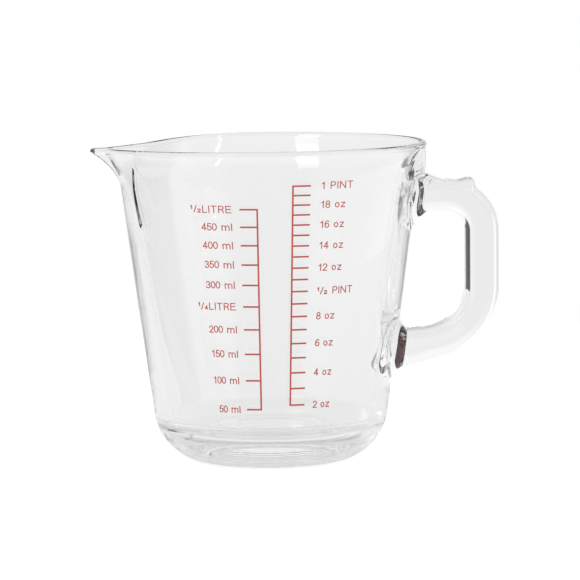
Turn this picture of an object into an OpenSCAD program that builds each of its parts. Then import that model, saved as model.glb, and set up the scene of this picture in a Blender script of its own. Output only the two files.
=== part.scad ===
// Half litre measuring jug of clear pressed glass, with two printed volume scales.
// Millimetres, +Z up. The origin is the middle of the foot that the jug stands on.
// The handle is towards +X, the spout towards -X, and the scales face -Y.

/* [Body] */
// Height from the table to the top of the rim
total_h = 116.3; // [112:0.1:124]
// Radius of the straight outer wall, carried down to the table
body_base_r = 40.45; // [39:0.05:44]
// Draft of the outer wall, in degrees from upright
wall_draft = 7.6; // [6.8:0.1:8.6]
// Radius of the rounded heel between the wall and the standing ring
heel_r = 20; // [14:0.5:21]
// Thickness of the wall where it would meet the table
wall_low_t = 6.8; // [5.5:0.1:7.5]
// Thickness of the wall at the rim's height, before the lip thickens it
wall_top_t = 1.6; // [1.2:0.1:2.6]
// Thickness of the glass floor under the bowl
floor_t = 12.2; // [10:0.1:14]
// Width of the rounding between the bowl's flat floor and its wall
floor_round_w = 16; // [10:0.5:19]
// Height of that rounding
floor_round_h = 4; // [3:0.5:8]
// Radius of the flat foot that the jug stands on
foot_r = 22.5; // [18:0.5:23]
// How far that foot stands out under the heel
foot_proud = 0.3; // [0.2:0.05:0.5]

/* [Rim] */
// Thickness of the rounded lip
rim_t = 2.4; // [2:0.1:3.4]
// How far the lip turns out past the straight wall
rim_flare = 1.85; // [0.5:0.05:2.5]
// Height over which the wall turns out to the lip
rim_flare_h = 10; // [6:0.5:10.5]

/* [Spout] */
// How far the tip reaches past the round rim
spout_reach = 7.3; // [5:0.1:9]
// Height of the beak under the tip
beak_h = 15; // [11:0.5:15.5]
// Height of the pinched valleys beside the spout
pinch_h = 34; // [26:0.5:38]
// Depth of those valleys at the rim
valley_depth = 2; // [1:0.1:2.6]
// How far the rim is drawn in beside the spout
flank_depth = 4.5; // [3:0.1:5.5]
// How much lower the tip is than the rim
spout_dip = 1.8; // [0.5:0.1:2.6]

/* [Handle] */
// Distance of the grip's outer face from the jug's axis
handle_reach = 83.5; // [81.5:0.1:88]
// How far the handle's upper outer corner is below the rim
handle_drop = 13.6; // [12.8:0.1:17.2]
// Height where the lower arm's outer face would meet the grip's outer face
handle_low_z = 42.8; // [41:0.1:46]
// Thickness of the grip
grip_t = 12.2; // [10:0.1:12.6]
// Thickness of the upper arm at the corner
upper_arm_t = 12; // [10:0.1:12.6]
// Thickness of the lower arm under the inner corner
lower_arm_t = 6.4; // [5:0.1:8]
// Width of the whole handle
handle_w = 17; // [14:0.5:20]
// Rounding of the handle's long edges
handle_edge_r = 3.4; // [2:0.1:3.8]
// Outer radius of the handle's upper corner
upper_corner_r = 18; // [14:0.5:19]
// Outer radius of the handle's lower corner
lower_corner_r = 27; // [21:0.5:29]
// Radius of the finger hole's upper corner
upper_hole_r = 7; // [5:0.5:8]
// Radius of the finger hole's lower corner
lower_hole_r = 16; // [12:0.5:16.5]
// Fillet where the arms grow out of the wall
root_fillet = 4.5; // [3:0.5:5]
// Radius of the front of the upright pad that joins the upper arm to the rim
pad_r = 32; // [24:1:38]
// How far the pad stands out of the straight wall at its top
pad_proud = 1.5; // [1.2:0.1:2.4]

/* [Scales] */
// Height of the 50 ml line over the bowl's floor
low_mark_rise = 11.5; // [10.5:0.1:14]
// How far the 1 pint line is below the rim
top_mark_drop = 12.3; // [12.1:0.1:18]
// Direction of the millilitre spine, in degrees from the front
ml_azimuth = -4.5; // [-8:0.1:-3]
// Direction of the ounce spine, in degrees from the front
oz_azimuth = 9; // [7:0.1:12]
// Length of the lines, in degrees round the jug
tick_angle = 6.8; // [5:0.1:8]
// Distance from the spine to the labels, in degrees round the jug
ml_label_angle = 10.1; // [9:0.1:12]
// Distance from the ounce spine to its labels, in degrees round the jug
oz_label_angle = 11; // [9:0.1:12]
// Height of the capitals and figures
cap_h = 2.65; // [2:0.05:2.8]
// Width of the scales' lines
line_w = 0.6; // [0.4:0.01:0.7]
// Width of the labels' strokes
stroke_w = 0.34; // [0.3:0.01:0.45]
// Thickness of the fired enamel
enamel_t = 0.15; // [0.1:0.01:0.3]

/* [Hidden] */
$fn = 96;
// Cuts run past a face by this much
overrun = 1;
// Millilitres in an imperial fluid ounce
ml_per_oz = 28.4131;
ml_marks = [50:50:500];
first_ml = 50;
last_ml = 500;
oz_marks = [2:1:20];
oz_label_marks = [2:2:20];
last_oz = 20;
top_ml = last_oz * ml_per_oz;

lip_r = rim_t / 2;
lip_z = total_h - lip_r;
rim_r = wall_r(lip_z) + rim_flare;
// The heel's arc would touch the table and touches the wall, and the foot cuts it off just above the table
heel_centre_r = wall_r(heel_r) - heel_r / cos(wall_draft);
heel_start_a = asin((foot_proud - heel_r) / heel_r);
heel_top_z = heel_r * (1 - sin(wall_draft));

handle_top_z = total_h - handle_drop;
low_mark_z = floor_t + low_mark_rise;
top_mark_z = total_h - top_mark_drop;

azimuth_steps = 72;
// The steps round the jug crowd together at the spout
crowding_share = 0.52;
heel_steps = 6;
lip_steps = 6;
floor_steps = 6;
corner_steps = 8;
root_steps = 4;
edge_steps = 3;
// Degrees between the points of a curved stroke
arc_step = 20;
plain_shares = [0.35, 0.7];
pinch_shares = [0, 0.14, 0.28, 0.42, 0.55, 0.66, 0.76, 0.85, 0.93];

// Angles round the jug from the spout at which its features end
beak_a = 4.2;
beak_end_a = 45;
valley_a = 46;
flank_a = 76;
dip_a = 90;
beak_power = 1.6;

// Rise of the upper arm's top, the finger hole's foot and the lower arm's underside, outwards
upper_slope = 0.045;
hole_low_slope = 0.09;
lower_slope = 0.254;

function ml_node(v) = str("ml_", v, "_label");
function oz_node(v) = str("oz_", v, "_label");

function clamp01(t) = max(0, min(1, t));
function smooth(t) = let (s = clamp01(t)) s * s * (3 - 2 * s);
function mix(a, b, t) = a + (b - a) * t;
function reversed(list) = [for (i = [len(list) - 1:-1:0]) list[i]];
function total(list, i = 0) = i < len(list) ? list[i] + total(list, i + 1) : 0;

// Radii of the straight outer wall and of the bowl at a height
function wall_r(z) = body_base_r + z * tan(wall_draft);
function bowl_r(z) = wall_r(z) - mix(wall_low_t, wall_top_t, z / total_h);

// Both surfaces turn out to the lip over the flare's height
function flare_share(z) = pow(clamp01((z - lip_z + rim_flare_h) / rim_flare_h), 2);
function outer_r(z) = wall_r(z) + flare_share(z) * rim_flare;
function inner_r(z) = bowl_r(z) + flare_share(z) * (rim_r - rim_t - bowl_r(lip_z));

// Share of the pinch and of the beak that a height has
function pinch_share(z) = smooth((z - lip_z + pinch_h) / pinch_h);
function beak_share(z) = pow(clamp01((z - lip_z + beak_h) / beak_h), beak_power);

// A smooth hollow between angle 0 and width, deepest half way
function hollow(a, width) = a < width ? pow(sin(180 * a / width), 2) : 0;

// How far the spout moves a surface outwards, at an angle from the spout and a height
function spout_shift(a, z) =
    spout_reach * beak_share(z) * (1 - smooth(a / beak_end_a)) / (1 + pow(a / beak_a, 2))
    - valley_depth * pinch_share(z) * hollow(a, valley_a)
    - flank_depth * beak_share(z) * hollow(a, flank_a);

// How far the rim sinks towards the tip
function rim_dip(a, z) = a < dip_a ? spout_dip * pow(cos(a), 2) * beak_share(z) : 0;

// Outer half of the section, from the foot up to the outer edge of the lip
function outer_section() = concat(
    [for (i = [0:heel_steps])
        let (a = mix(heel_start_a, -wall_draft, i / heel_steps))
        [heel_centre_r + heel_r * cos(a), heel_r + heel_r * sin(a)]],
    [for (s = plain_shares) let (z = mix(heel_top_z, lip_z - pinch_h, s)) [outer_r(z), z]],
    [for (s = pinch_shares) let (z = lip_z - pinch_h * (1 - s)) [outer_r(z), z]]
);

// Half circle over the top of the lip
function lip_section() = [
    for (i = [0:lip_steps])
        let (a = 180 * i / lip_steps)
        [rim_r - lip_r + lip_r * cos(a), lip_z + lip_r * sin(a)]
];

// Inner half of the section, from the lip down to the edge of the flat floor
function inner_section() = concat(
    [for (s = reversed(pinch_shares)) let (z = lip_z - pinch_h * (1 - s)) [inner_r(z), z]],
    [for (s = reversed(plain_shares))
        let (z = mix(floor_t + floor_round_h, lip_z - pinch_h, s)) [inner_r(z), z]],
    [for (i = [0:floor_steps])
        let (a = 90 * i / floor_steps, z = floor_t + floor_round_h * (1 - sin(a)))
        [bowl_r(z) - floor_round_w * (1 - cos(a)), z]]
);

// One upright row of the surface at an angle from the spout
function surface_row(section, a) = let (off = min(a, 360 - a)) [
    for (p = section)
        let (r = p[0] + spout_shift(off, p[1]))
        [-r * cos(a), -r * sin(a), p[1] - rim_dip(off, p[1])]
];

// Body of the jug without its foot: one closed surface, walked round the axis
module bowl_and_spout() {
    section = concat(outer_section(), lip_section(), inner_section());
    n = len(section);
    rows = [
        for (i = [0:azimuth_steps - 1])
            let (turn = 360 * i / azimuth_steps)
            surface_row(section, turn - crowding_share * sin(turn) * 180 / PI)
    ];
    points = concat([for (row = rows) each row], [[0, 0, foot_proud], [0, 0, floor_t]]);
    under = azimuth_steps * n;
    faces = [
        for (i = [0:azimuth_steps - 1])
            let (here = i * n, next = (i + 1) % azimuth_steps * n)
            each concat(
                [for (j = [0:n - 2]) [here + j, here + j + 1, next + j + 1]],
                [for (j = [0:n - 2]) [here + j, next + j + 1, next + j]],
                [[under, here, next]],
                [[here + n - 1, under + 1, next + n - 1]]
            )
    ];
    polyhedron(points, faces);
}

module glass_body() {
    color("lightcyan") union() {
        bowl_and_spout();
        cylinder(h = floor_t / 2, r = foot_r);
    }
}

// The round body without its spout, that the handle is cut to
module body_blank() {
    side = concat(outer_section(), [[rim_r, lip_z], [rim_r - lip_r, total_h]]);
    rotate_extrude() polygon(concat([[0, foot_proud]], side, [[0, total_h]]));
}

// Arc that rounds the corner b of the path a, b, c
function rounded_corner(a, b, c, r, steps) =
    let (
        u = (a - b) / norm(a - b),
        v = (c - b) / norm(c - b),
        half = acos(u * v) / 2,
        centre = b + (u + v) / norm(u + v) * r / sin(half),
        start = b + u * r / tan(half) - centre,
        end = b + v * r / tan(half) - centre,
        from = atan2(start[1], start[0]),
        swing = atan2(end[1], end[0]) - from,
        turn = swing > 180 ? swing - 360 : swing < -180 ? swing + 360 : swing
    )
    [for (i = [0:steps])
        let (t = from + turn * i / steps)
        centre + r * [cos(t), sin(t)]];

// One ring of the handle: a rounded rectangle from its inner to its outer edge
function handle_ring(inside, outside, grow) =
    let (
        along = (outside - inside) / norm(outside - inside),
        half_t = norm(outside - inside) / 2 + grow,
        half_w = handle_w / 2 + grow,
        edge_r = handle_edge_r + grow,
        middle = (inside + outside) / 2
    )
    [for (corner = [0:3], i = [0:edge_steps])
        let (
            a = 90 * (corner + i / edge_steps),
            sx = corner == 0 || corner == 3 ? 1 : -1,
            sy = corner < 2 ? 1 : -1,
            across = sx * (half_t - edge_r) + edge_r * cos(a),
            side = sy * (half_w - edge_r) + edge_r * sin(a),
            p = middle + across * along
        )
        [p[0], side, p[1]]];

// The handle's rings: a filleted root, the arms and corners, and the other root
function root_rings(inner_line, outer_line, start_x) = concat(
    [handle_ring(inner_line(start_x - root_fillet), outer_line(start_x - root_fillet), root_fillet)],
    [for (i = [0:root_steps])
        let (
            a = 90 * i / root_steps,
            x = start_x + root_fillet * (1 - cos(a)),
            grow = root_fillet * (1 - sin(a))
        )
        handle_ring(inner_line(x), outer_line(x), grow)]
);

module handle_band() {
    hole_x = handle_reach - grip_t;
    hole_top_z = handle_top_z - upper_arm_t;
    hole_low_z = handle_low_z + lower_arm_t;
    top_line = function (x) [x, handle_top_z - (handle_reach - x) * upper_slope];
    hole_top_line = function (x) [x, hole_top_z];
    hole_low_line = function (x) [x, hole_low_z - (hole_x - x) * hole_low_slope];
    low_line = function (x) [x, handle_low_z - (handle_reach - x) * lower_slope];
    top_x = wall_r(hole_top_z);
    low_x = wall_r(low_line(wall_r(handle_low_z))[1]);
    outside = concat(
        rounded_corner(top_line(top_x), top_line(handle_reach), low_line(handle_reach),
            upper_corner_r, corner_steps),
        rounded_corner(top_line(handle_reach), low_line(handle_reach), low_line(low_x),
            lower_corner_r, corner_steps)
    );
    inside = concat(
        rounded_corner(hole_top_line(top_x), hole_top_line(hole_x), hole_low_line(hole_x),
            upper_hole_r, corner_steps),
        rounded_corner(hole_top_line(hole_x), hole_low_line(hole_x), hole_low_line(low_x),
            lower_hole_r, corner_steps)
    );
    rings = concat(
        root_rings(hole_top_line, top_line, top_x),
        [for (i = [0:len(outside) - 1]) handle_ring(inside[i], outside[i], 0)],
        reversed(root_rings(hole_low_line, low_line, low_x))
    );
    n = len(rings[0]);
    last = len(rings) - 1;
    sides = [
        for (i = [0:last - 1], j = [0:n - 1])
            let (k = (j + 1) % n)
            each [[i * n + j, (i + 1) * n + k, (i + 1) * n + j], [i * n + j, i * n + k, (i + 1) * n + k]]
    ];
    caps = [[for (j = [n - 1:-1:0]) j], [for (j = [0:n - 1]) last * n + j]];
    polyhedron([for (ring = rings) each ring], concat(sides, caps));
}

// Upright pad that carries the upper arm up to the rim
module handle_pad() {
    pad_front = wall_r(lip_z) + pad_proud;
    pad_low_z = handle_top_z - handle_edge_r;
    translate([pad_front - pad_r, 0, pad_low_z]) cylinder(h = lip_z - pad_low_z, r = pad_r);
}

module handle() {
    color("azure") difference() {
        union() {
            handle_band();
            handle_pad();
        }
        body_blank();
    }
}

// Height of a volume line: the bowl's cubed radius grows evenly with the volume
function mark_z(ml) =
    let (
        slope = (bowl_r(total_h) - bowl_r(0)) / total_h,
        low = pow(bowl_r(low_mark_z), 3),
        top = pow(bowl_r(top_mark_z), 3),
        r = pow(mix(low, top, (ml - first_ml) / (top_ml - first_ml)), 1 / 3)
    )
    (r - bowl_r(0)) / slope;

// Thin skin on the outer wall between two heights
module enamel_skin(low_z, high_z) {
    difference() {
        translate([0, 0, low_z]) cylinder(
            h = high_z - low_z, r1 = wall_r(low_z) + enamel_t, r2 = wall_r(high_z) + enamel_t);
        translate([0, 0, low_z - overrun]) cylinder(
            h = high_z - low_z + 2 * overrun, r1 = wall_r(low_z - overrun), r2 = wall_r(high_z + overrun));
    }
}

// Flat artwork in front of the wall, carried onto it from a direction round the jug
module carried_onto_wall(azimuth, z) {
    rotate([0, 0, azimuth]) translate([0, 0, z]) rotate([90, 0, 0])
        linear_extrude(height = wall_r(total_h) + overrun) children();
}

// A ladder: an upright spine with a line at each volume, on one side of it
module scale_lines(volumes, azimuth, side) {
    low_z = mark_z(volumes[0]) - line_w / 2;
    high_z = mark_z(volumes[len(volumes) - 1]) + line_w / 2;
    intersection() {
        enamel_skin(low_z, high_z);
        union() {
            carried_onto_wall(azimuth, low_z) translate([-line_w / 2, 0]) square([line_w, high_z - low_z]);
            for (v = volumes) {
                z = mark_z(v);
                length = wall_r(z) * sin(tick_angle);
                carried_onto_wall(azimuth, z)
                    translate([side < 0 ? -length : 0, -line_w / 2]) square([length, line_w]);
            }
        }
    }
}

module ml_scale_lines() {
    color("crimson") scale_lines([for (v = ml_marks) v], ml_azimuth, -1);
}

module oz_scale_lines() {
    color("crimson") scale_lines([for (v = oz_marks) v * ml_per_oz], oz_azimuth, 1);
}

// Points along an arc of an ellipse, as shares of the capital height
function arc(centre, radii, from, to) = [
    for (steps = ceil(abs(to - from) / arc_step), i = [0:steps])
        let (a = mix(from, to, i / steps))
        centre + [radii[0] * cos(a), radii[1] * sin(a)]
];

function moved(paths, place, size) = [
    for (path = paths) [for (p = path) [place[0] + size[0] * p[0], place[1] + size[1] * p[1]]]
];

// Centre lines of each character, from 0 to 1 in height, as shares of the capital height
function glyph_shares(c) =
    c == "0" ? [arc([0.29, 0.5], [0.29, 0.5], 90, 450)] :
    c == "1" ? [[[0.34, 0], [0.34, 1]], [[0.34, 0.97], [0.26, 0.82], [0.08, 0.76]]] :
    c == "2" ? [concat(arc([0.29, 0.71], [0.27, 0.29], 172, -32), [[0.03, 0.03]]), [[0, 0], [0.58, 0]]] :
    c == "3" ? [arc([0.28, 0.76], [0.24, 0.24], 165, -90), arc([0.28, 0.26], [0.29, 0.26], 90, -165)] :
    c == "4" ? [[[0.44, 0], [0.44, 1]], [[0.42, 0.96], [0.03, 0.29]], [[0, 0.26], [0.62, 0.26]]] :
    c == "5" ? [[[0.53, 1], [0.11, 1], [0.05, 0.5]], arc([0.28, 0.31], [0.28, 0.31], 140, -160)] :
    c == "6" ? [arc([0.29, 0.3], [0.28, 0.3], 90, 450), arc([0.33, 0.45], [0.32, 0.55], 50, 200)] :
    c == "8" ? [arc([0.29, 0.76], [0.24, 0.24], 90, 450), arc([0.29, 0.26], [0.29, 0.26], 90, 450)] :
    c == "L" ? [[[0, 1], [0, 0], [0.55, 0]]] :
    c == "I" || c == "l" ? [[[0, 0], [0, 1]]] :
    c == "T" ? [[[0, 1], [0.7, 1]], [[0.35, 0], [0.35, 1]]] :
    c == "R" ? [[[0, 0], [0, 1]], [[0.42, 0.49], [0.65, 0]],
        concat([[0, 1]], arc([0.4, 0.745], [0.24, 0.255], 90, -90), [[0, 0.49]])] :
    c == "E" ? [[[0.64, 1], [0, 1], [0, 0], [0.67, 0]], [[0, 0.53], [0.6, 0.53]]] :
    c == "P" ? [[[0, 0], [0, 1]],
        concat([[0, 1]], arc([0.38, 0.735], [0.25, 0.265], 90, -90), [[0, 0.47]])] :
    c == "N" ? [[[0, 0], [0, 1]], [[0.03, 0.97], [0.77, 0.03]], [[0.8, 0], [0.8, 1]]] :
    c == "m" ? [[[0, 0], [0, 0.7]], concat(arc([0.25, 0.46], [0.25, 0.24], 180, 0), [[0.5, 0]]),
        concat(arc([0.75, 0.46], [0.25, 0.24], 180, 0), [[1, 0]])] :
    c == "o" ? [arc([0.27, 0.35], [0.27, 0.35], 90, 450)] :
    c == "z" ? [[[0, 0.7], [0.52, 0.7]], [[0.5, 0.66], [0.03, 0.04]], [[0, 0], [0.55, 0]]] :
    c == "/" ? [[[0, 0], [0.34, 1]]] :
    c == "½" ? fraction_shares("2") :
    c == "¼" ? fraction_shares("4") : [];

function fraction_shares(under) = concat(
    moved(glyph_shares("1"), [-0.04, 0.46], [0.54, 0.54]),
    moved(glyph_shares("/"), [0.46, 0], [1.15, 1]),
    moved(glyph_shares(under), [1.05, 0], [0.66, 0.5])
);

// Distance from a character to the next one, as shares of the capital height
stretch_share = 1.15;
letter_gap_share = 0.41;
digit_gap_share = 0.22;
space_share = 0.31;
function gap_share(c) = len(search(c, "0234568")) > 0 ? digit_gap_share : letter_gap_share;
function advance_share(c) =
    let (xs = [for (path = glyph_shares(c), p = path) p[0]])
    (len(xs) == 0 ? space_share : stretch_share * max(xs)) + gap_share(c);

function text_share(label) = total([for (c = label) advance_share(c)]) - gap_share(label[len(label) - 1]);
function start_share(label, i) = total([for (j = [0:1:i - 1]) advance_share(label[j])]);

// Flat stroke along a centre line, with mitred bends and square ends
module stroke(path) {
    last = len(path) - 1;
    closed = norm(path[0] - path[last]) < stroke_w / 10;
    directions = [for (i = [0:last - 1]) (path[i + 1] - path[i]) / norm(path[i + 1] - path[i])];
    offsets = [
        for (i = [0:last])
            let (
                into = i > 0 ? directions[i - 1] : closed ? directions[last - 1] : directions[0],
                out = i < last ? directions[i] : closed ? directions[0] : directions[last - 1],
                bend = (into + out) / norm(into + out),
                reach = stroke_w / 2 / (bend * out)
            )
            reach * [-bend[1], bend[0]]
    ];
    // An open stroke's two ends run half a stroke further
    line = [
        for (i = [0:closed ? last - 1 : last])
            path[i] + (closed ? 0 : i == 0 ? -stroke_w / 2 : i == last ? stroke_w / 2 : 0)
                * directions[min(i, last - 1)]
    ];
    left = [for (i = [0:len(line) - 1]) line[i] + offsets[i]];
    right = [for (i = [0:len(line) - 1]) line[i] - offsets[i]];
    if (closed) {
        difference() {
            polygon(right);
            polygon(left);
        }
    } else {
        polygon(concat(left, reversed(right)));
    }
}

// A word in strokes, centred on both axes, with its widths scaled to the jug's girth there
module word(label, girth) {
    tall = cap_h - stroke_w;
    wide = tall * girth;
    half = wide * text_share(label) / 2;
    for (i = [0:len(label) - 1]) {
        x = start_share(label, i) * wide - half;
        for (path = glyph_shares(label[i])) {
            stroke([for (p = path) [x + p[0] * stretch_share * wide, (p[1] - 1 / 2) * tall]]);
        }
    }
}

// A label beside its line; side is -1 where it ends at the azimuth and 1 where it starts there
module scale_label(label, ml, azimuth, side) {
    z = mark_z(ml);
    girth = wall_r(z) / wall_r(mark_z(last_ml));
    half = (cap_h - stroke_w) * girth * text_share(label) / 2;
    color("crimson") intersection() {
        enamel_skin(z - cap_h, z + cap_h);
        carried_onto_wall(azimuth + side * asin(half / wall_r(z)), z) word(label, girth);
    }
}

function ml_text(v) = v == last_ml ? "½LITRE" : v == last_ml / 2 ? "¼LITRE" : str(v, " ml");
function oz_text(v) = v == last_oz ? "1 PINT" : v == last_oz / 2 ? "½ PINT" : str(v, " oz");

glass_body();
handle();
ml_scale_lines();
oz_scale_lines();
for (v = ml_marks)
    scale_label(ml_text(v), v, ml_azimuth - ml_label_angle, -1);
for (v = oz_label_marks)
    scale_label(oz_text(v), v * ml_per_oz, oz_azimuth + oz_label_angle, 1);
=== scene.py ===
"""Half litre measuring jug of clear pressed glass, with two printed volume scales: its looks.

Sizes are millimetres until a mesh is made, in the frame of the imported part: +Z up from the flat foot,
spout towards -X, handle towards +X, scales facing -Y. The glass is one seamless piece that stands for
the body and the handle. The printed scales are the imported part's own, with an enamel of their own.
"""

import math

import bpy
import numpy as np
from mathutils import Matrix


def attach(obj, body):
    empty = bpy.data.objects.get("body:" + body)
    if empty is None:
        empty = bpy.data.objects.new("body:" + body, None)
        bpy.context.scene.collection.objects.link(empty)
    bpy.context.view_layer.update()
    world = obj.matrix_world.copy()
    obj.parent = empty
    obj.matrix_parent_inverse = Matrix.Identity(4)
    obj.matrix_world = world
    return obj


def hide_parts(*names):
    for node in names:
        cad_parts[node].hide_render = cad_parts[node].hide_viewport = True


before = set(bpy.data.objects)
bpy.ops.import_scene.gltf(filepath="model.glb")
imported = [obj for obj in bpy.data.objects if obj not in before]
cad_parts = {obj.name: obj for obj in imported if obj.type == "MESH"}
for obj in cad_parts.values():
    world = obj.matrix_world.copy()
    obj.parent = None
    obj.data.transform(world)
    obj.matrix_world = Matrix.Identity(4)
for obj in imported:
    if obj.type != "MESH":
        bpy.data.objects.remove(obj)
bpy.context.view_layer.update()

MM = 0.001

# Body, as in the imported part, except that the bowl's rounding is 1 mm higher here
TOTAL_H = 116.3
BODY_BASE_R = 40.45
WALL_DRAFT = math.radians(7.6)
HEEL_R = 20.0
WALL_LOW_T = 6.8
WALL_TOP_T = 1.6
FLOOR_T = 12.2
FLOOR_ROUND_W = 16.0
FLOOR_ROUND_H = 5.0
FOOT_R = 22.5
FOOT_PROUD = 0.3
FOOT_STEP_W = 1.0

# Rim and spout
RIM_T = 2.4
RIM_FLARE = 1.85
RIM_FLARE_H = 10.0
SPOUT_REACH = 7.3
BEAK_H = 15.0
PINCH_H = 34.0
VALLEY_DEPTH = 2.0
FLANK_DEPTH = 4.5
SPOUT_DIP = 1.8
BEAK_A = math.radians(4.2)
BEAK_END_A = math.radians(45)
VALLEY_A = math.radians(46)
FLANK_A = math.radians(76)
DIP_A = math.radians(90)
BEAK_POWER = 1.6

# Handle
HANDLE_REACH = 83.5
HANDLE_TOP_Z = 102.7
HANDLE_LOW_Z = 42.8
GRIP_T = 12.2
UPPER_ARM_T = 12.0
LOWER_ARM_T = 6.4
HANDLE_W = 17.0
HANDLE_EDGE_R = 3.4
UPPER_CORNER_R = 18.0
LOWER_CORNER_R = 27.0
UPPER_HOLE_R = 7.0
LOWER_HOLE_R = 16.0
UPPER_SLOPE = 0.045
HOLE_LOW_SLOPE = 0.09
LOWER_SLOPE = 0.254
PAD_PROUD = 1.5

# The pad fades out between two angles from its middle. Its foot rises from the arm's top towards its
# sides, between two angles, and fades out over a height.
PAD_FLAT_A = math.radians(11)
PAD_END_A = math.radians(24)
PAD_LOW_Z = 100.7
PAD_LOW_RISE = 3.4
PAD_RISE_FROM_A = math.radians(5)
PAD_RISE_TO_A = math.radians(12)
PAD_FADE_H = 3.0

# Ridge across the handle's top, before its upper corner
NUB_Z = 102.4
NUB_FROM_X = 68.0
NUB_FLAT_X = 72.0
NUB_EDGE_X = 74.3
NUB_TO_X = 75.4

# Fillets of the two roots: how far they reach out along the arm at its side, its outer face and its face
# at the finger hole, and how far they spread over the wall there
UPPER_ROOT_OUT = (3.6, 7.4, 5.0)
UPPER_ROOT_SPREAD = (4.0, 3.2, 7.0)
LOWER_ROOT_OUT = (4.0, 3.2, 3.4)
LOWER_ROOT_SPREAD = (6.8, 3.3, 5.0)

# Power of the fillets' curve, between a straight chamfer at 2 and a quarter ellipse at 1
ROOT_POWER = 1.72

# The roots start at this angle of their curve, after a straight bite into the wall. They end this deep
# in it, where their last rings shrink to these shares of their size.
ROOT_END_A = math.radians(4)
ROOT_BITE = 0.06
UPPER_ROOT_DEPTH = 1.2
LOWER_ROOT_DEPTH = 2.4
ROOT_END_SHARES = (0.35, 0.7)

# Crease on each side of the spout, sharp in front and soft behind: how deep and half as wide at its low
# end, what is left of both at its top, where it runs and where it fades
CREASE_DEPTH = 0.85
CREASE_HALF_A = math.radians(1.3)
CREASE_TOP_SHARE = 0.55
SOFT_DEPTH = 0.09
SOFT_HALF_A = math.radians(3.5)
CREASE_TOP_A = math.radians(21.0)
CREASE_SWING_A = math.radians(7.5)
CREASE_TOP_Z = 112.0
CREASE_LOW_Z = 87.6
CREASE_FADE_H = 1.2
CREASE_POWER = 1.5

# Ridge where the rounding of the bowl meets the flat of its floor
RIDGE_H = 0.4
RIDGE_W = 1.1

# Turning marks of the mould on the heel, between two angles of its arc
RIPPLE_H = 0.045
RIPPLE_LENGTH = 1.45
RIPPLE_FROM_A = math.radians(-73)
RIPPLE_TO_A = math.radians(-49)

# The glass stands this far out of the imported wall, so that the prints sit in its surface
GLASS_PROUD = 0.03

# Points of the body's section, from the foot's middle round to the bowl's floor. Those of the foot's step
# reach a little past it on both sides.
FOOT_POINTS = 8
FOOT_STEP_POINTS = 9
FOOT_STEP_REACH = 0.7
HEEL_LOW_POINTS = 9
HEEL_MARKED_POINTS = 53
HEEL_TOP_POINTS = 19
WALL_POINTS = 16
PINCH_POINTS = 40
LIP_POINTS = 15
ROUND_POINTS = 38
RIDGE_POINTS = 15
FLOOR_POINTS = 7

# Columns round the body, out of a finer count of angles. They crowd where the surface turns fastest: at
# the spout's tip, along the creases and over the pad. Each row gives the middle and half width in degrees,
# the power and the added density.
BODY_COLUMNS = 312
FINE_ANGLES = 2881
CROWDED = (
    (0.0, 8.0, 2, 3.0),
    (24.0, 6.0, 4, 4.0),
    (180.0, 28.0, 4, 0.8),
)

# Rings along the handle's corners, arms and grip and along each root, and points on each arc and flat of
# a ring
UPPER_CORNER_RINGS = 61
LOWER_CORNER_RINGS = 31
STRAIGHT_RINGS = 13
ROOT_RINGS = 24
ARC_POINTS = 13
FLAT_POINTS = 8

# How much detail the broad and the fine noise of the surfaces have
BROAD_DETAIL = 1.0
FINE_DETAIL = 2.0

# Absorption of the glass for each metre, its refraction, and its waves: scales of the broad and the fine
# noise, share of the fine one, and strength of the bumps and their height in metres
GLASS_ABSORPTION = 2.0
GLASS_IOR = 1.5
GLASS_WAVES = {"Broad": 45.0, "Fine": 260.0, "Fine Share": 0.12}
GLASS_BUMPS = {"Strength": 0.12, "Distance": 0.0004}

# Enamel: the same values, its roughness, and its colour where it is thick and where it is thin
ENAMEL_IOR = 1.5
ENAMEL_WAVES = {"Broad": 400.0, "Fine": 2400.0, "Fine Share": 0.5}
ENAMEL_BUMPS = {"Strength": 0.3, "Distance": 0.00005}
ENAMEL_ROUGHNESS = 0.32
ENAMEL_THICK_AT = 0.35
ENAMEL_THICK = (0.43, 0.058, 0.040, 1)
ENAMEL_THIN_AT = 0.65
ENAMEL_THIN = (0.55, 0.076, 0.052, 1)
WHITE = (1, 1, 1, 1)
BLACK = (0, 0, 0, 1)

# The photograph's camera: place, turn towards the handle, tilt down and roll in degrees, lens and sensor,
# and how near it sees in metres
CAMERA_PLACE = (0.0, -1461.0, 211.3164)
CAMERA_TURN = 0.28941
CAMERA_DOWN = 5.83772
CAMERA_ROLL = -0.52571
CAMERA_LENS = 249.526
SENSOR_W = 36.0
CAMERA_NEAR = 0.05

# Strength of the room, where 1 is white. Through the glass: the ground past the floor, the walls near the
# ground, and all above. In reflections: white below and dim above. The upright part of the direction
# blends each into the next.
SEEN_GROUND = 0.85
SEEN_LOW = 0.875
SEEN_WALLS = 1.0
GROUND_FROM = -0.21
GROUND_TO = -0.17
WALLS_FROM = -0.1
WALLS_TO = 0.2
REFLECTED_ROOM = 0.45
DIM_FROM = 0.02
DIM_TO = 0.12

# Patches of the room seen through the glass: azimuth of the middle from behind the jug towards the handle,
# half width and soft edge in degrees, lowest and highest upright part of the direction, and strength as a
# share of the room's. They are a dark gap beside the backdrop, the dark side where the camera stands, a
# lit stretch on each side of the backdrop's middle, and a greyer stretch on the spout's side.
ROOM_PATCHES = (
    (53.0, 30.0, 5.0, -0.2, 0.09, 0.08),
    (180.0, 30.0, 16.0, -0.35, 0.3, 0.45),
    (-15.0, 2.5, 4.0, -0.2, 0.3, 1.2),
    (12.0, 4.0, 5.0, -0.2, 0.3, 1.06),
    (-34.0, 9.0, 4.0, -0.2, 0.0, 0.88),
)
PATCH_SOFT_Z = 0.08

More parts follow.
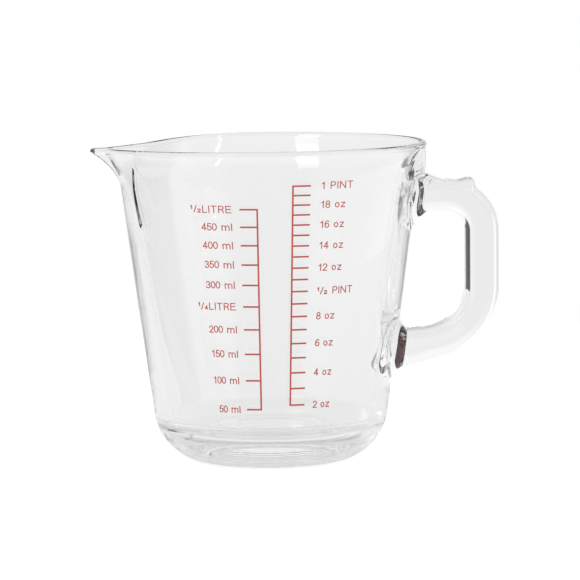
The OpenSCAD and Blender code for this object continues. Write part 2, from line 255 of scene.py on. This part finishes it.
# The floor: its grey, and what it gives out of itself to the camera and in reflections. Through the glass
# it has another grey and another lift.
FLOOR_GREY = 0.8
FLOOR_LIFT_CAMERA = 0.62
FLOOR_LIFT_REFLECTED = 0.32
FLOOR_GREY_GLASS = 0.3
FLOOR_LIFT_GLASS = 0.57
FLOOR_ROUGHNESS = 0.9
FLOOR_RADIUS = 450.0
FLOOR_COLUMNS = 96
FLOOR_GAP = 0.02

# Lamps: name, place and size in metres, and power in watts. Each faces the same point in the jug.
LAMPS = (
    ("key", (-0.54, -0.79, 0.62), (0.33, 0.42), 1.0),
    ("fill", (0.75, -0.60, 0.62), (0.07, 0.42), 0.24),
)
LAMP_AIM = (0.0, 0.0, 0.1)

# Light crosses the thick base many times before it leaves it
LIGHT_BOUNCES = 32
GLOSSY_BOUNCES = 24

LIP_R = RIM_T / 2
LIP_Z = TOTAL_H - LIP_R


def clamp01(t):
    return np.clip(t, 0.0, 1.0)


def smooth(t):
    """Eased step: 3t^2 - 2t^3 between 0 and 1."""
    s = clamp01(t)
    return s * s * (3 - 2 * s)


def mix(a, b, t):
    return a + (b - a) * t


def wall_r(z):
    """Radius of the straight outer wall: it grows evenly with height."""
    return BODY_BASE_R + z * math.tan(WALL_DRAFT)


def bowl_r(z):
    """Radius of the bowl: the wall's radius less a thickness that shrinks evenly with height."""
    return wall_r(z) - mix(WALL_LOW_T, WALL_TOP_T, z / TOTAL_H)


RIM_R = wall_r(LIP_Z) + RIM_FLARE


def flare_share(z):
    """Square of the height above the flare's start, as a share of the flare's height."""
    return clamp01((z - LIP_Z + RIM_FLARE_H) / RIM_FLARE_H) ** 2


def outer_r(z):
    return wall_r(z) + flare_share(z) * RIM_FLARE + GLASS_PROUD


def inner_r(z):
    return bowl_r(z) + flare_share(z) * (RIM_R - RIM_T - bowl_r(LIP_Z))


def beak_share(z):
    return clamp01((z - LIP_Z + BEAK_H) / BEAK_H) ** BEAK_POWER


def pinch_share(z):
    return smooth((z - LIP_Z + PINCH_H) / PINCH_H)


def hollow(a, width):
    """A smooth hollow between angle 0 and width: the square of a sine's half wave."""
    return np.where(a < width, np.sin(np.pi * a / width) ** 2, 0.0)


def spout_shift(a, z):
    """How far the spout moves the surface outwards, at an angle from the spout and a height: a sharp
    crest at the tip, less a valley beside it and a wide flank where the rim is drawn in."""
    crest = SPOUT_REACH * (1 - smooth(a / BEAK_END_A)) / (1 + (a / BEAK_A) ** 2)
    valley = VALLEY_DEPTH * hollow(a, VALLEY_A)
    flank = FLANK_DEPTH * hollow(a, FLANK_A)
    return beak_share(z) * (crest - flank) - pinch_share(z) * valley


def crease_shift(a, z, behind):
    """How deep the crease beside the spout is: (1 - x^2)^2 of the distance x from its line, which swings
    away from the spout by a power of the depth below its top."""
    share = clamp01((CREASE_TOP_Z - z) / (CREASE_TOP_Z - CREASE_LOW_Z))
    line = CREASE_TOP_A + CREASE_SWING_A * share ** CREASE_POWER
    size = mix(CREASE_TOP_SHARE, 1.0, share)
    half = np.where(behind, SOFT_HALF_A, CREASE_HALF_A) * size
    near = clamp01(1 - ((a - line) / half) ** 2) ** 2
    ends = smooth((z - CREASE_LOW_Z) / CREASE_FADE_H) * smooth((LIP_Z - z) / CREASE_FADE_H)
    return np.where(behind, SOFT_DEPTH, CREASE_DEPTH) * size * near * ends


def rim_dip(a, z):
    """How far the rim sinks towards the tip: the square of the angle's cosine."""
    return np.where(a < DIP_A, SPOUT_DIP * np.cos(a) ** 2 * beak_share(z), 0.0)


def pad_shift(a, z):
    """How far the upright pad over the handle stands out of the wall: to an upright face of one radius,
    times eased steps that end it at its two sides and at its foot."""
    off = math.pi - a
    out = np.maximum(wall_r(LIP_Z) + PAD_PROUD - outer_r(z), 0.0)
    side = 1 - smooth((off - PAD_FLAT_A) / (PAD_END_A - PAD_FLAT_A))
    rise = smooth((off - PAD_RISE_FROM_A) / (PAD_RISE_TO_A - PAD_RISE_FROM_A))
    return out * side * smooth((z - PAD_LOW_Z - PAD_LOW_RISE * rise) / PAD_FADE_H + 0.5)


def body_section():
    """The section from the middle of the foot, round the heel, up the wall, over the lip, down the bowl
    and to the middle of its floor, as radius, height and 1 where it is the outside of the wall. The heel
    is an arc whose radius swings with a sine of the arc's length, under the root of a sine's half wave.
    The ridge on the bowl's floor is the square of a sine's half wave."""
    heel_centre_r = wall_r(HEEL_R) - HEEL_R / math.cos(WALL_DRAFT)
    heel_start = math.asin((FOOT_PROUD - HEEL_R) / HEEL_R)
    heel_top = HEEL_R * (1 - math.sin(WALL_DRAFT))
    foot = np.concatenate([
        np.linspace(0, FOOT_R - FOOT_STEP_W, FOOT_POINTS)[1:],
        np.linspace(FOOT_R - FOOT_STEP_REACH, FOOT_R + FOOT_STEP_REACH, FOOT_STEP_POINTS)])
    foot_z = FOOT_PROUD * smooth((foot - FOOT_R + FOOT_STEP_W / 2) / FOOT_STEP_W)
    a = np.concatenate([
        np.linspace(heel_start, RIPPLE_FROM_A, HEEL_LOW_POINTS)[:-1],
        np.linspace(RIPPLE_FROM_A, RIPPLE_TO_A, HEEL_MARKED_POINTS),
        np.linspace(RIPPLE_TO_A, -WALL_DRAFT, HEEL_TOP_POINTS)[1:]])
    share = clamp01((a - RIPPLE_FROM_A) / (RIPPLE_TO_A - RIPPLE_FROM_A))
    wave = np.sin(2 * np.pi * HEEL_R * (a - RIPPLE_FROM_A) / RIPPLE_LENGTH)
    ripple = RIPPLE_H * np.sqrt(np.sin(np.pi * share)) * wave
    heel = heel_centre_r + (HEEL_R + ripple) * np.cos(a) + GLASS_PROUD
    heel_z = HEEL_R + (HEEL_R + ripple) * np.sin(a)
    low_z = np.linspace(heel_top, LIP_Z - PINCH_H, WALL_POINTS)[1:]
    high_z = np.linspace(LIP_Z - PINCH_H, LIP_Z, PINCH_POINTS)[1:]
    wall_z = np.concatenate([low_z, high_z])
    a = np.linspace(0, math.pi, LIP_POINTS)[1:-1]
    lip = RIM_R - LIP_R + LIP_R * np.cos(a)
    lip_z = LIP_Z + LIP_R * np.sin(a)
    bowl_low_z = np.linspace(FLOOR_T + FLOOR_ROUND_H, LIP_Z - PINCH_H, WALL_POINTS)
    bowl_z = np.concatenate([high_z[::-1], bowl_low_z[::-1]])
    a = np.linspace(0, math.pi / 2, ROUND_POINTS)[1:]
    round_z = FLOOR_T + FLOOR_ROUND_H * (1 - np.sin(a))
    rounding = bowl_r(round_z) - FLOOR_ROUND_W * (1 - np.cos(a))
    flat_r = rounding[-1]
    share = np.linspace(0, 1, RIDGE_POINTS)[1:]
    flat = np.linspace(flat_r - RIDGE_W, 0, FLOOR_POINTS)[1:-1]
    floor = np.concatenate([flat_r - RIDGE_W * share, flat])
    floor_z = FLOOR_T + RIDGE_H * np.sin(np.pi * clamp01((flat_r - floor) / RIDGE_W)) ** 2
    r = np.concatenate([foot, heel, outer_r(wall_z), lip, inner_r(bowl_z), rounding, floor])
    z = np.concatenate([foot_z, heel_z, wall_z, lip_z, bowl_z, round_z, floor_z])
    outside = np.zeros(len(r))
    wall_at = len(foot) + len(heel)
    outside[wall_at:wall_at + len(wall_z)] = 1.0
    return r, z, outside


def grid_faces(rows, columns):
    """Quads between neighbouring points of a grid that closes on itself in its second direction."""
    i = np.arange(rows - 1)[:, None]
    j = np.arange(columns)[None, :]
    k = (j + 1) % columns
    corners = [i * columns + j, i * columns + k, (i + 1) * columns + k, (i + 1) * columns + j]
    return np.stack(np.broadcast_arrays(*corners), axis=-1).reshape(-1, 4)


def mesh_object(name, points, quads, triangles):
    """An object from points in millimetres and its faces, shaded smooth."""
    mesh = bpy.data.meshes.new(name)
    faces = np.asarray(quads).tolist() + np.asarray(triangles).tolist()
    mesh.from_pydata((np.asarray(points) * MM).tolist(), [], faces)
    mesh.update()
    mesh.shade_smooth()
    obj = bpy.data.objects.new(name, mesh)
    bpy.context.scene.collection.objects.link(obj)
    return obj


def body_angles():
    """Angles round the jug from the spout, closer together where the table says: each row adds a density
    that falls off as the exponential of the distance's power."""
    angle = np.linspace(0, 2 * np.pi, FINE_ANGLES)
    off = np.degrees(np.minimum(angle, 2 * np.pi - angle))
    density = np.ones(FINE_ANGLES)
    for middle, half, power, added in CROWDED:
        density = density + added * np.exp(-((off - middle) / half) ** power)
    total = np.concatenate([[0], np.cumsum((density[1:] + density[:-1]) / 2)])
    return np.interp(np.arange(BODY_COLUMNS) / BODY_COLUMNS, total / total[-1], angle)


def body_shape():
    """The body's surface: the section walked round the axis, moved out and down by the spout's, the
    creases' and the pad's formulas."""
    steps = BODY_COLUMNS
    r, z, outside = body_section()
    angle = body_angles()
    off = np.minimum(angle, 2 * np.pi - angle)
    a, zz = np.meshgrid(off, z)
    marks = pad_shift(a, zz) - crease_shift(a, zz, angle > np.pi)
    rr = r[:, None] + spout_shift(a, zz) + outside[:, None] * marks
    points = np.stack([-rr * np.cos(angle), -rr * np.sin(angle), zz - rim_dip(a, zz)], axis=-1)
    count = points.shape[0] * steps
    points = np.concatenate([points.reshape(-1, 3), [[0, 0, 0], [0, 0, FLOOR_T]]])
    quads = grid_faces(len(r), steps)
    j = np.arange(steps)
    k = (j + 1) % steps
    last = count - steps
    under = np.stack([np.full(steps, count), k, j], axis=-1)
    floor = np.stack([np.full(steps, count + 1), last + j, last + k], axis=-1)
    return mesh_object("jug_glass", points, quads, np.concatenate([under, floor]))


def corner_arc(a, b, c, r, count):
    """The round corner of radius r that takes the place of point b of the path a, b, c."""
    a, b, c = (np.asarray(p, float) for p in (a, b, c))
    u = (a - b) / np.linalg.norm(a - b)
    v = (c - b) / np.linalg.norm(c - b)
    half = math.acos(u @ v) / 2
    centre = b + (u + v) / np.linalg.norm(u + v) * r / math.sin(half)
    start = b + u * r / math.tan(half) - centre
    end = b + v * r / math.tan(half) - centre
    first = math.atan2(start[1], start[0])
    swing = (math.atan2(end[1], end[0]) - first + math.pi) % (2 * math.pi) - math.pi
    t = first + swing * np.linspace(0, 1, count)
    return centre + r * np.stack([np.cos(t), np.sin(t)], axis=-1)


def handle_line(height, side_x, upper_r, lower_r, start_x, end_x):
    """One edge line of the handle in the X-Z plane: arm, corner, grip, corner, arm. The two arms' heights
    are functions of X."""
    upper, lower = height
    corner_top = (side_x, upper(side_x))
    corner_low = (side_x, lower(side_x))
    first = corner_arc((start_x, upper(start_x)), corner_top, corner_low, upper_r, UPPER_CORNER_RINGS)
    second = corner_arc(corner_top, corner_low, (end_x, lower(end_x)), lower_r, LOWER_CORNER_RINGS)
    share = np.linspace(0, 1, STRAIGHT_RINGS)[:, None]
    grip = mix(first[-1], second[0], share[1:-1])
    arm_in = mix(np.array([start_x, upper(start_x)]), first[0], share[:-1])
    arm_out = mix(second[-1], np.array([end_x, lower(end_x)]), share[1:])
    return np.concatenate([arm_in, first, grip, second, arm_out])


def ring_shape():
    """Rounded rectangle round the origin, point by point: where its corner's centre is, as shares of the
    half width and half length, and its direction on that corner's arc. The steps crowd together at the
    ends of each arc, and each arc is followed by the points of one flat."""
    share = (1 - np.cos(np.linspace(0, np.pi, ARC_POINTS))) / 2
    flat = np.linspace(0, 1, FLAT_POINTS)[1:-1]
    angle = np.concatenate([share, np.ones(len(flat))])
    moved = np.concatenate([np.zeros(len(share)), flat])
    corner = np.repeat(np.arange(4), len(angle))
    angle = np.pi / 2 * (np.tile(angle, 4) + corner)
    moved = np.tile(moved, 4)
    sx = mix(np.array([1, -1, -1, 1])[corner], np.array([-1, -1, 1, 1])[corner], moved)
    sy = mix(np.array([1, 1, -1, -1])[corner], np.array([1, -1, -1, 1])[corner], moved)
    return sx, sy, np.cos(angle), np.sin(angle)


def band_rings(inner, outer):
    """Rings between two edge lines: each a rounded rectangle across the band and along Y."""
    sx, sy, ca, sa = ring_shape()
    along = outer - inner
    half_t = np.linalg.norm(along, axis=1, keepdims=True) / 2
    along = along / (2 * half_t)
    across = sx * (half_t - HANDLE_EDGE_R) + HANDLE_EDGE_R * ca
    centre = (outer + inner) / 2
    x = centre[:, :1] + across * along[:, :1]
    z = centre[:, 1:] + across * along[:, 1:]
    y = np.broadcast_to(sy * (HANDLE_W / 2 - HANDLE_EDGE_R) + HANDLE_EDGE_R * sa, x.shape)
    return np.stack([x, y, z], axis=-1)


def by_side(values, ca):
    """Blend of a value for the sides, the outer face and the face at the finger hole, by direction."""
    side, over, under = values
    return side + np.where(ca > 0, over - side, under - side) * ca ** 2


def root_rings(inner, outer, depth, out, spread):
    """Rings of a root, from deep in the wall outwards. Each keeps its gap to the wall and pad. It first
    shrinks along a straight line, then along a flattened quarter ellipse: gap = out (1 - cos(t)^p) and
    growth = spread (1 - sin(t)^p). Its heights follow the arm's two edges."""
    sx, sy, ca, sa = ring_shape()
    out, spread = by_side(out, ca), by_side(spread, ca)
    deep = len(ROOT_END_SHARES) + 1
    before = np.full(deep + 1, ROOT_END_A)
    t = np.concatenate([before, np.linspace(ROOT_END_A, np.pi / 2, ROOT_RINGS)])[:, None]
    gap = (1 - clamp01(np.cos(t)) ** ROOT_POWER) * out
    grow = (1 - np.sin(t) ** ROOT_POWER) * spread
    gap[:deep] = -depth
    gap[deep] -= ROOT_BITE
    grow[:deep + 1] += ROOT_BITE * spread / out * math.tan(ROOT_END_A) ** (ROOT_POWER - 2)
    scale = np.ones_like(t)
    scale[:deep - 1, 0] = ROOT_END_SHARES
    x = wall_r((inner(HANDLE_REACH) + outer(HANDLE_REACH)) / 2) + gap
    x = wall_r((inner(x) + outer(x)) / 2) + gap
    middle = (inner(x) + outer(x)) / 2
    half = (outer(x) - inner(x)) / 2
    edge = HANDLE_EDGE_R + grow
    across = sx * (np.abs(half) - HANDLE_EDGE_R) + edge * ca
    z = middle + scale * np.sign(half) * across
    y = scale * (sy * (HANDLE_W / 2 - HANDLE_EDGE_R) + edge * sa)
    wall = outer_r(z)
    wall = wall + pad_shift(np.pi - np.arcsin(np.abs(y) / wall), z)
    return np.stack([np.sqrt(wall ** 2 - y ** 2) + gap, y, z], axis=-1)


def handle_shape():
    """The handle: rounded-rectangle rings carried along its two edge lines, between two roots that follow
    the wall and end inside the glass."""
    hole_x = HANDLE_REACH - GRIP_T
    hole_top = HANDLE_TOP_Z - UPPER_ARM_T
    hole_low = HANDLE_LOW_Z + LOWER_ARM_T

    def top_z(x):
        return HANDLE_TOP_Z - (HANDLE_REACH - x) * UPPER_SLOPE

    def hole_top_z(x):
        return hole_top + 0 * x

    def hole_low_z(x):
        return hole_low - (hole_x - x) * HOLE_LOW_SLOPE

    def low_z(x):
        return HANDLE_LOW_Z - (HANDLE_REACH - x) * LOWER_SLOPE

    def nub(x):
        """Share of the ridge's height: an eased step up and a shorter one down."""
        rise = smooth((x - NUB_FROM_X) / (NUB_FLAT_X - NUB_FROM_X))
        return rise * (1 - smooth((x - NUB_EDGE_X) / (NUB_TO_X - NUB_EDGE_X)))

    top_x = wall_r(LIP_Z) + PAD_PROUD + UPPER_ROOT_OUT[1]
    hole_top_x = wall_r(hole_top) + UPPER_ROOT_OUT[2]
    low_x = wall_r(hole_low) + max(LOWER_ROOT_OUT)
    outer = handle_line((top_z, low_z), HANDLE_REACH, UPPER_CORNER_R, LOWER_CORNER_R, top_x, low_x)
    inner = handle_line((hole_top_z, hole_low_z), hole_x, UPPER_HOLE_R, LOWER_HOLE_R, hole_top_x, low_x)
    x, z = outer.T
    outer[:, 1] += np.where(z > hole_top, nub(x) * (NUB_Z - z), 0.0)
    upper_root = root_rings(hole_top_z, top_z, UPPER_ROOT_DEPTH, UPPER_ROOT_OUT, UPPER_ROOT_SPREAD)
    lower_root = root_rings(hole_low_z, low_z, LOWER_ROOT_DEPTH, LOWER_ROOT_OUT, LOWER_ROOT_SPREAD)[::-1]
    rings = np.concatenate([upper_root, band_rings(inner, outer), lower_root])
    rows, columns = rings.shape[:2]
    ends = [rings[0].mean(axis=0), rings[-1].mean(axis=0)]
    points = np.concatenate([rings.reshape(-1, 3), ends])
    j = np.arange(columns)
    k = (j + 1) % columns
    last = (rows - 1) * columns
    first_cap = np.stack([np.full(columns, rows * columns), k, j], axis=-1)
    last_cap = np.stack([np.full(columns, rows * columns + 1), last + j, last + k], axis=-1)
    caps = np.concatenate([first_cap, last_cap])
    return mesh_object("jug_handle", points, grid_faces(rows, columns), caps)


def jug_glass():
    """Body and handle joined into one closed piece of glass."""
    body = body_shape()
    handle = handle_shape()
    for obj in (body, handle):
        face_outwards(obj)
    join = body.modifiers.new("handle_joined", "BOOLEAN")
    join.operation = "UNION"
    join.solver = "EXACT"
    join.object = handle
    depsgraph = bpy.context.evaluated_depsgraph_get()
    joined = bpy.data.meshes.new_from_object(body.evaluated_get(depsgraph))
    body.modifiers.clear()
    body.data = joined
    body.data.name = "jug_glass"
    bpy.data.objects.remove(handle)
    body.data.shade_smooth()
    return body


def face_outwards(obj):
    """Turns every face round if the mesh holds a negative volume."""
    mesh = obj.data
    mesh.calc_loop_triangles()
    corners = np.zeros(len(mesh.loop_triangles) * 3, np.int32)
    mesh.loop_triangles.foreach_get("vertices", corners)
    co = np.zeros(len(mesh.vertices) * 3)
    mesh.vertices.foreach_get("co", co)
    a, b, c = co.reshape(-1, 3)[corners.reshape(-1, 3)].transpose(1, 0, 2)
    if np.einsum("ij,ij->", a, np.cross(b, c)) < 0:
        mesh.flip_normals()


# Materials

def new_material(name):
    """A material with only a Principled BSDF and its output, its node tree and its shader."""
    material = bpy.data.materials.new(name)
    material.use_nodes = True
    tree = material.node_tree
    return material, tree, tree.nodes["Principled BSDF"]


def add_node(tree, kind, inputs=(), **settings):
    """A node with settings, its input sockets filled by name or index with values or linked outputs."""
    node = tree.nodes.new(kind)
    for key, value in settings.items():
        setattr(node, key, value)
    for key, value in dict(inputs).items():
        if isinstance(value, bpy.types.NodeSocket):
            tree.links.new(value, node.inputs[key])
        else:
            node.inputs[key].default_value = value
    return node


def maths(tree, operation, *values):
    """The result of one arithmetic step on values or linked outputs."""
    return add_node(tree, "ShaderNodeMath", dict(enumerate(values)), operation=operation).outputs[0]


def eased(tree, value, start, end, before, after):
    """An eased step from one value or linked output to another, while a value goes from start to end."""
    return add_node(tree, "ShaderNodeMapRange", {
        "Value": value, "From Min": start, "From Max": end, "To Min": before, "To Max": after},
        interpolation_type="SMOOTHSTEP").outputs["Result"]


def waviness_group():
    """Soft unevenness of pressed glass: broad noise plus finer noise, as a height."""
    group = bpy.data.node_groups.new("pressed waviness", "ShaderNodeTree")
    group.interface.new_socket("Vector", in_out="INPUT", socket_type="NodeSocketVector")
    for name in GLASS_WAVES:
        group.interface.new_socket(name, in_out="INPUT", socket_type="NodeSocketFloat")
    group.interface.new_socket("Height", in_out="OUTPUT", socket_type="NodeSocketFloat")
    start = add_node(group, "NodeGroupInput")
    broad = add_node(group, "ShaderNodeTexNoise", {
        "Vector": start.outputs["Vector"], "Scale": start.outputs["Broad"], "Detail": BROAD_DETAIL})
    fine = add_node(group, "ShaderNodeTexNoise", {
        "Vector": start.outputs["Vector"], "Scale": start.outputs["Fine"], "Detail": FINE_DETAIL})
    both = add_node(group, "ShaderNodeMix", {
        "Factor": start.outputs["Fine Share"], "A": broad.outputs["Fac"], "B": fine.outputs["Fac"]})
    end = add_node(group, "NodeGroupOutput")
    group.links.new(both.outputs["Result"], end.inputs["Height"])
    return group


def wavy_surface(tree, shader, waviness, scales, bumps):
    """Gives a shader the bumps of the waviness group at these scales. Returns the group's height."""
    place = add_node(tree, "ShaderNodeTexCoord")
    waves = add_node(
        tree, "ShaderNodeGroup", {"Vector": place.outputs["Object"], **scales}, node_tree=waviness)
    height = waves.outputs["Height"]
    bump = add_node(tree, "ShaderNodeBump", {"Height": height, **bumps})
    tree.links.new(bump.outputs["Normal"], shader.inputs["Normal"])
    return height


def glass_material(waviness):
    """Clear fire-polished glass that greys where it is thick, with the soft waves of a pressing."""
    material, tree, shader = new_material("clear pressed glass")
    wavy_surface(tree, shader, waviness, GLASS_WAVES, GLASS_BUMPS)
    shader.inputs["Base Color"].default_value = WHITE
    shader.inputs["Roughness"].default_value = 0.0
    shader.inputs["IOR"].default_value = GLASS_IOR
    shader.inputs["Transmission Weight"].default_value = 1.0
    grey = add_node(tree, "ShaderNodeVolumeAbsorption", {"Color": BLACK, "Density": GLASS_ABSORPTION})
    tree.links.new(grey.outputs["Volume"], tree.nodes["Material Output"].inputs["Volume"])
    return material


def enamel_material(waviness):
    """Fired red screen-print enamel: glossy, a little thinner and paler in patches."""
    material, tree, shader = new_material("red enamel")
    height = wavy_surface(tree, shader, waviness, ENAMEL_WAVES, ENAMEL_BUMPS)
    ramp = add_node(tree, "ShaderNodeValToRGB", {"Fac": height})
    thick, thin = ramp.color_ramp.elements
    thick.position, thick.color = ENAMEL_THICK_AT, ENAMEL_THICK
    thin.position, thin.color = ENAMEL_THIN_AT, ENAMEL_THIN
    tree.links.new(ramp.outputs["Color"], shader.inputs["Base Color"])
    shader.inputs["Roughness"].default_value = ENAMEL_ROUGHNESS
    shader.inputs["IOR"].default_value = ENAMEL_IOR
    return material


# Studio

def floor_material():
    """Pale floor that takes the jug's shadow. To the camera it is white where nothing shades it. Through
    the glass its shadow is fainter, and in reflections it is greyer."""
    material, tree, shader = new_material("pale floor")
    shader.inputs["Roughness"].default_value = FLOOR_ROUGHNESS
    shader.inputs["Specular IOR Level"].default_value = 0.0
    shader.inputs["Emission Color"].default_value = WHITE
    path = add_node(tree, "ShaderNodeLightPath")
    grey = add_node(tree, "ShaderNodeMix", {
        "Factor": path.outputs["Is Transmission Ray"], "A": FLOOR_GREY, "B": FLOOR_GREY_GLASS})
    tree.links.new(grey.outputs["Result"], shader.inputs["Base Color"])
    lift = maths(tree, "MULTIPLY", path.outputs["Is Camera Ray"], FLOOR_LIFT_CAMERA)
    lift = maths(tree, "MULTIPLY_ADD", path.outputs["Is Glossy Ray"], FLOOR_LIFT_REFLECTED, lift)
    lift = add_node(tree, "ShaderNodeMix", {
        "Factor": path.outputs["Is Transmission Ray"], "A": lift, "B": FLOOR_LIFT_GLASS})
    tree.links.new(lift.outputs["Result"], shader.inputs["Emission Strength"])
    return material


def floor_disc():
    """A flat round floor under the foot."""
    steps = FLOOR_COLUMNS
    j = np.arange(steps)
    t = 2 * np.pi * j / steps
    below = np.full(steps, -FLOOR_GAP)
    rim = np.stack([FLOOR_RADIUS * np.cos(t), FLOOR_RADIUS * np.sin(t), below], axis=-1)
    points = np.concatenate([rim, [[0, 0, -FLOOR_GAP]]])
    faces = np.stack([np.full(steps, steps), j, (j + 1) % steps], axis=-1)
    floor = mesh_object("floor", points, np.zeros((0, 4), int), faces)
    floor.data.materials.append(floor_material())


def room_patch(tree, azimuth, height, patch):
    """Strength of the room within a patch, and 1 around it: eased steps over the distance from the patch's
    middle, round the room and up."""
    middle, half, soft, low, high, strength = patch
    off = maths(tree, "SUBTRACT", azimuth, math.radians(middle))
    off = maths(tree, "ABSOLUTE", maths(tree, "WRAP", off, math.pi, -math.pi))
    inside = eased(tree, off, math.radians(half), math.radians(half + soft), 1.0, 0.0)
    away = maths(tree, "ABSOLUTE", maths(tree, "SUBTRACT", height, (low + high) / 2))
    level = eased(tree, away, (high - low) / 2, (high - low) / 2 + PATCH_SOFT_Z, inside, 0.0)
    return add_node(tree, "ShaderNodeMapRange", {
        "Value": level, "To Min": 1.0, "To Max": strength}).outputs["Result"]


def surround():
    """The room: plain white to the camera and to dull surfaces. Through the glass it is white above and a
    shade under it near the ground, with a few darker and lighter patches. In reflections it is white below
    and dim above."""
    world = bpy.data.worlds.new("surround")
    bpy.context.scene.world = world
    world.use_nodes = True
    tree = world.node_tree
    place = add_node(tree, "ShaderNodeTexCoord")
    towards = add_node(tree, "ShaderNodeSeparateXYZ", {"Vector": place.outputs["Generated"]})
    height = towards.outputs["Z"]
    azimuth = maths(tree, "ARCTAN2", towards.outputs["X"], towards.outputs["Y"])
    ground = eased(tree, height, GROUND_FROM, GROUND_TO, SEEN_GROUND, SEEN_LOW)
    seen = eased(tree, height, WALLS_FROM, WALLS_TO, ground, SEEN_WALLS)
    for patch in ROOM_PATCHES:
        seen = maths(tree, "MULTIPLY", seen, room_patch(tree, azimuth, height, patch))
    dim = eased(tree, height, DIM_FROM, DIM_TO, 1.0, REFLECTED_ROOM)
    path = add_node(tree, "ShaderNodeLightPath")
    bent = add_node(tree, "ShaderNodeMix", {
        "Factor": path.outputs["Is Transmission Ray"], "A": dim, "B": seen})
    strength = add_node(tree, "ShaderNodeMix", {
        "Factor": path.outputs["Is Glossy Ray"], "A": 1.0, "B": bent.outputs["Result"]})
    tree.nodes["Background"].inputs["Color"].default_value = WHITE
    tree.links.new(strength.outputs["Result"], tree.nodes["Background"].inputs["Strength"])


def soft_box(name, place, size, power):
    """A rectangular lamp at a place, facing the jug, with its size and its power in watts."""
    lamp = bpy.data.lights.new(name, "AREA")
    lamp.shape = "RECTANGLE"
    lamp.size, lamp.size_y = size
    lamp.energy = power
    obj = bpy.data.objects.new(name, lamp)
    bpy.context.scene.collection.objects.link(obj)
    place = np.asarray(place, float)
    back = place - np.asarray(LAMP_AIM, float)
    back = back / np.linalg.norm(back)
    right = np.cross([0, 0, 1], back)
    right = right / np.linalg.norm(right)
    up = np.cross(back, right)
    obj.matrix_world = rigid(right, up, back, place)


def rigid(right, up, back, place):
    """The 4x4 matrix of an object from its three directions and its place."""
    rows = np.column_stack([right, up, back, place]).tolist()
    return Matrix([*rows, [0, 0, 0, 1]])


def camera():
    """The photograph's viewpoint: where it is, and how far it is turned, tilted down and rolled."""
    turn, down, roll = (math.radians(a) for a in (CAMERA_TURN, CAMERA_DOWN, CAMERA_ROLL))
    ahead = np.array([math.sin(turn) * math.cos(down), math.cos(turn) * math.cos(down), -math.sin(down)])
    level = np.array([math.cos(turn), -math.sin(turn), 0.0])
    up = np.cross(level, ahead)
    right = level * math.cos(roll) + up * math.sin(roll)
    up = up * math.cos(roll) - level * math.sin(roll)
    data = bpy.data.cameras.new("photo_camera")
    data.sensor_width = SENSOR_W
    data.lens = CAMERA_LENS
    data.clip_start = CAMERA_NEAR
    obj = bpy.data.objects.new("photo_camera", data)
    bpy.context.scene.collection.objects.link(obj)
    obj.matrix_world = rigid(right, up, -ahead, np.array(CAMERA_PLACE) * MM)
    bpy.context.scene.camera = obj


bpy.context.scene.view_settings.view_transform = "Standard"

bpy.context.scene.cycles.max_bounces = LIGHT_BOUNCES
bpy.context.scene.cycles.glossy_bounces = GLOSSY_BOUNCES
bpy.context.scene.cycles.transmission_bounces = LIGHT_BOUNCES

waviness = waviness_group()
glass = jug_glass()
glass.data.materials.clear()
glass.data.materials.append(glass_material(waviness))
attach(glass, "root")
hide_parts("glass_body", "handle")

enamel = enamel_material(waviness)
for name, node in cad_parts.items():
    if name not in ("glass_body", "handle"):
        node.data.materials.clear()
        node.data.materials.append(enamel)

floor_disc()
surround()
for lamp in LAMPS:
    soft_box(*lamp)
camera()
